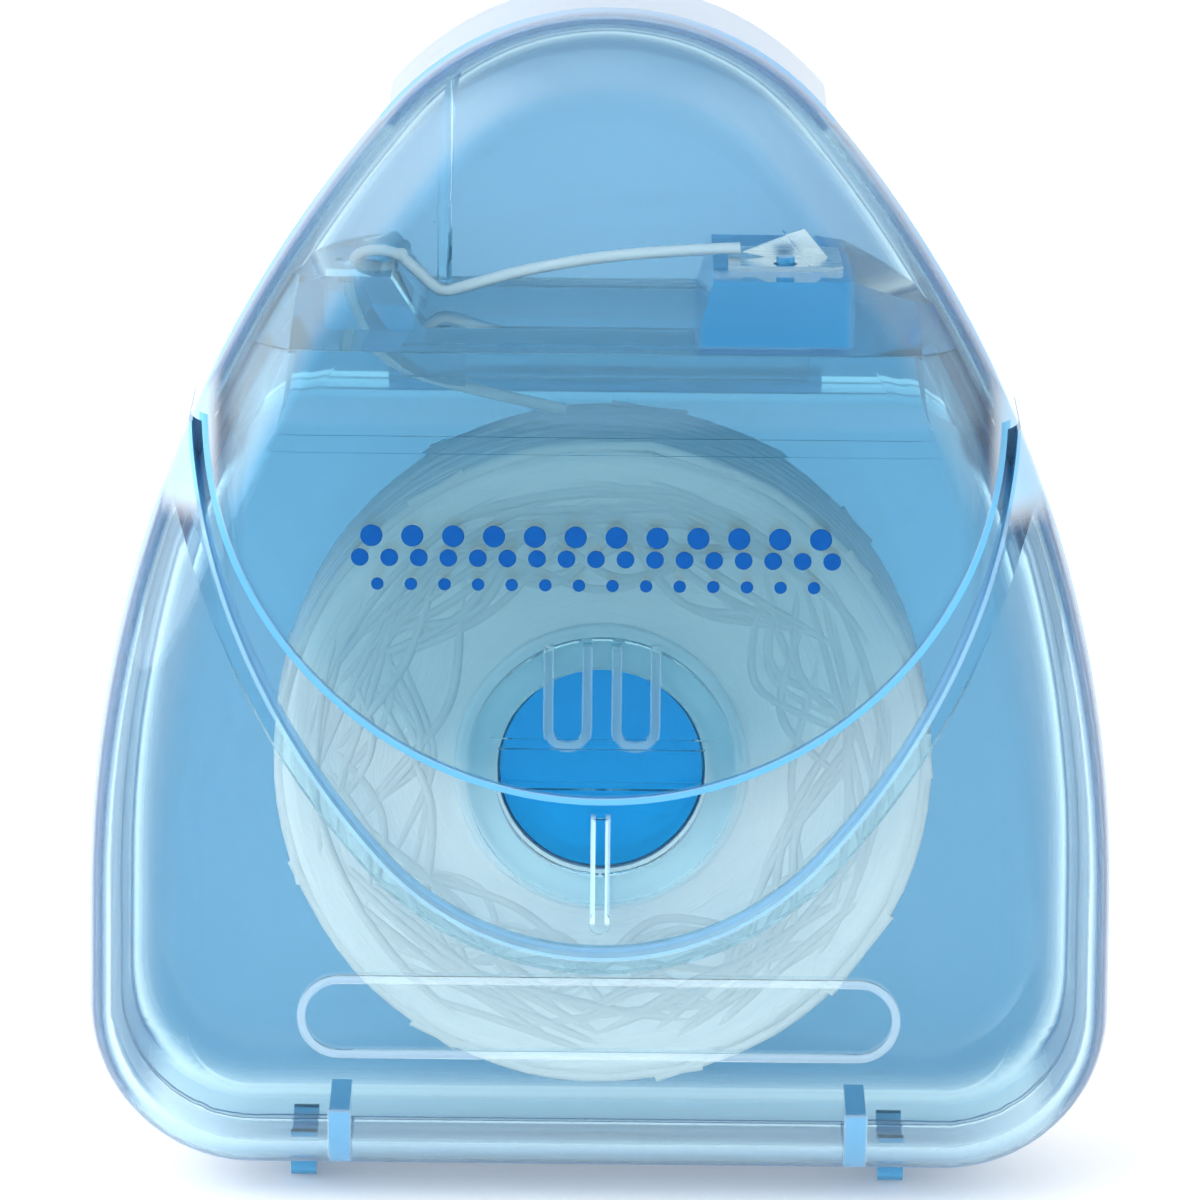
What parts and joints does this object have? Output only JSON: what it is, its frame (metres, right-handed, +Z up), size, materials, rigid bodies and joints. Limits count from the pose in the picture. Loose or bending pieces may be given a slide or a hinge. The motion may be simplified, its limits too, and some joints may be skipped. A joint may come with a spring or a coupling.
{
  "type": "dental floss dispenser",
  "caption": "Pocket floss dispenser: clear two-part case with rounded-triangle outline, flip cap with front flap, turning spool of floss, outlet deck and steel cutter.",
  "frame": {"origin": "middle of the bounding box at the bottom of the two hinge loops under the case", "axes": "+X to the right seen from the front, +Y from the front to the back, +Z up to the top of the cap"},
  "size_m": [0.056, 0.0197, 0.0657],
  "materials": {
    "clear_blue": "clear tinted gloss",
    "pale_core": "smooth",
    "floss": "waxed strand",
    "steel": "bright stamped"
  },
  "bodies": {
    "case": {"front_shell": "clear_blue", "back_shell": "clear_blue", "case_hinge_left": "clear_blue", "case_hinge_right": "clear_blue", "outlet_deck": "clear_blue", "cutter": "steel", "floss_lead": "floss", "cap_hinge_web": "clear_blue"},
    "spool": {"spool_core": "pale_core", "floss_package": "floss", "floss_winding": "floss"},
    "cap": {"flip_cap": "clear_blue"}
  },
  "joints": [
    {"name": "cap_hinge", "type": "hinge", "parent": "case", "child": "cap", "pos_m": [0, 0.0094, 0.043], "axis": [-1, 0, 0], "range_deg": [0, 120], "deforming": ["cap_hinge_web"]},
    {"name": "spool_spin", "type": "hinge", "parent": "case", "child": "spool", "pos_m": [0, 0.0001, 0.02425], "axis": [0, 1, 0], "continuous": true}
  ]
}
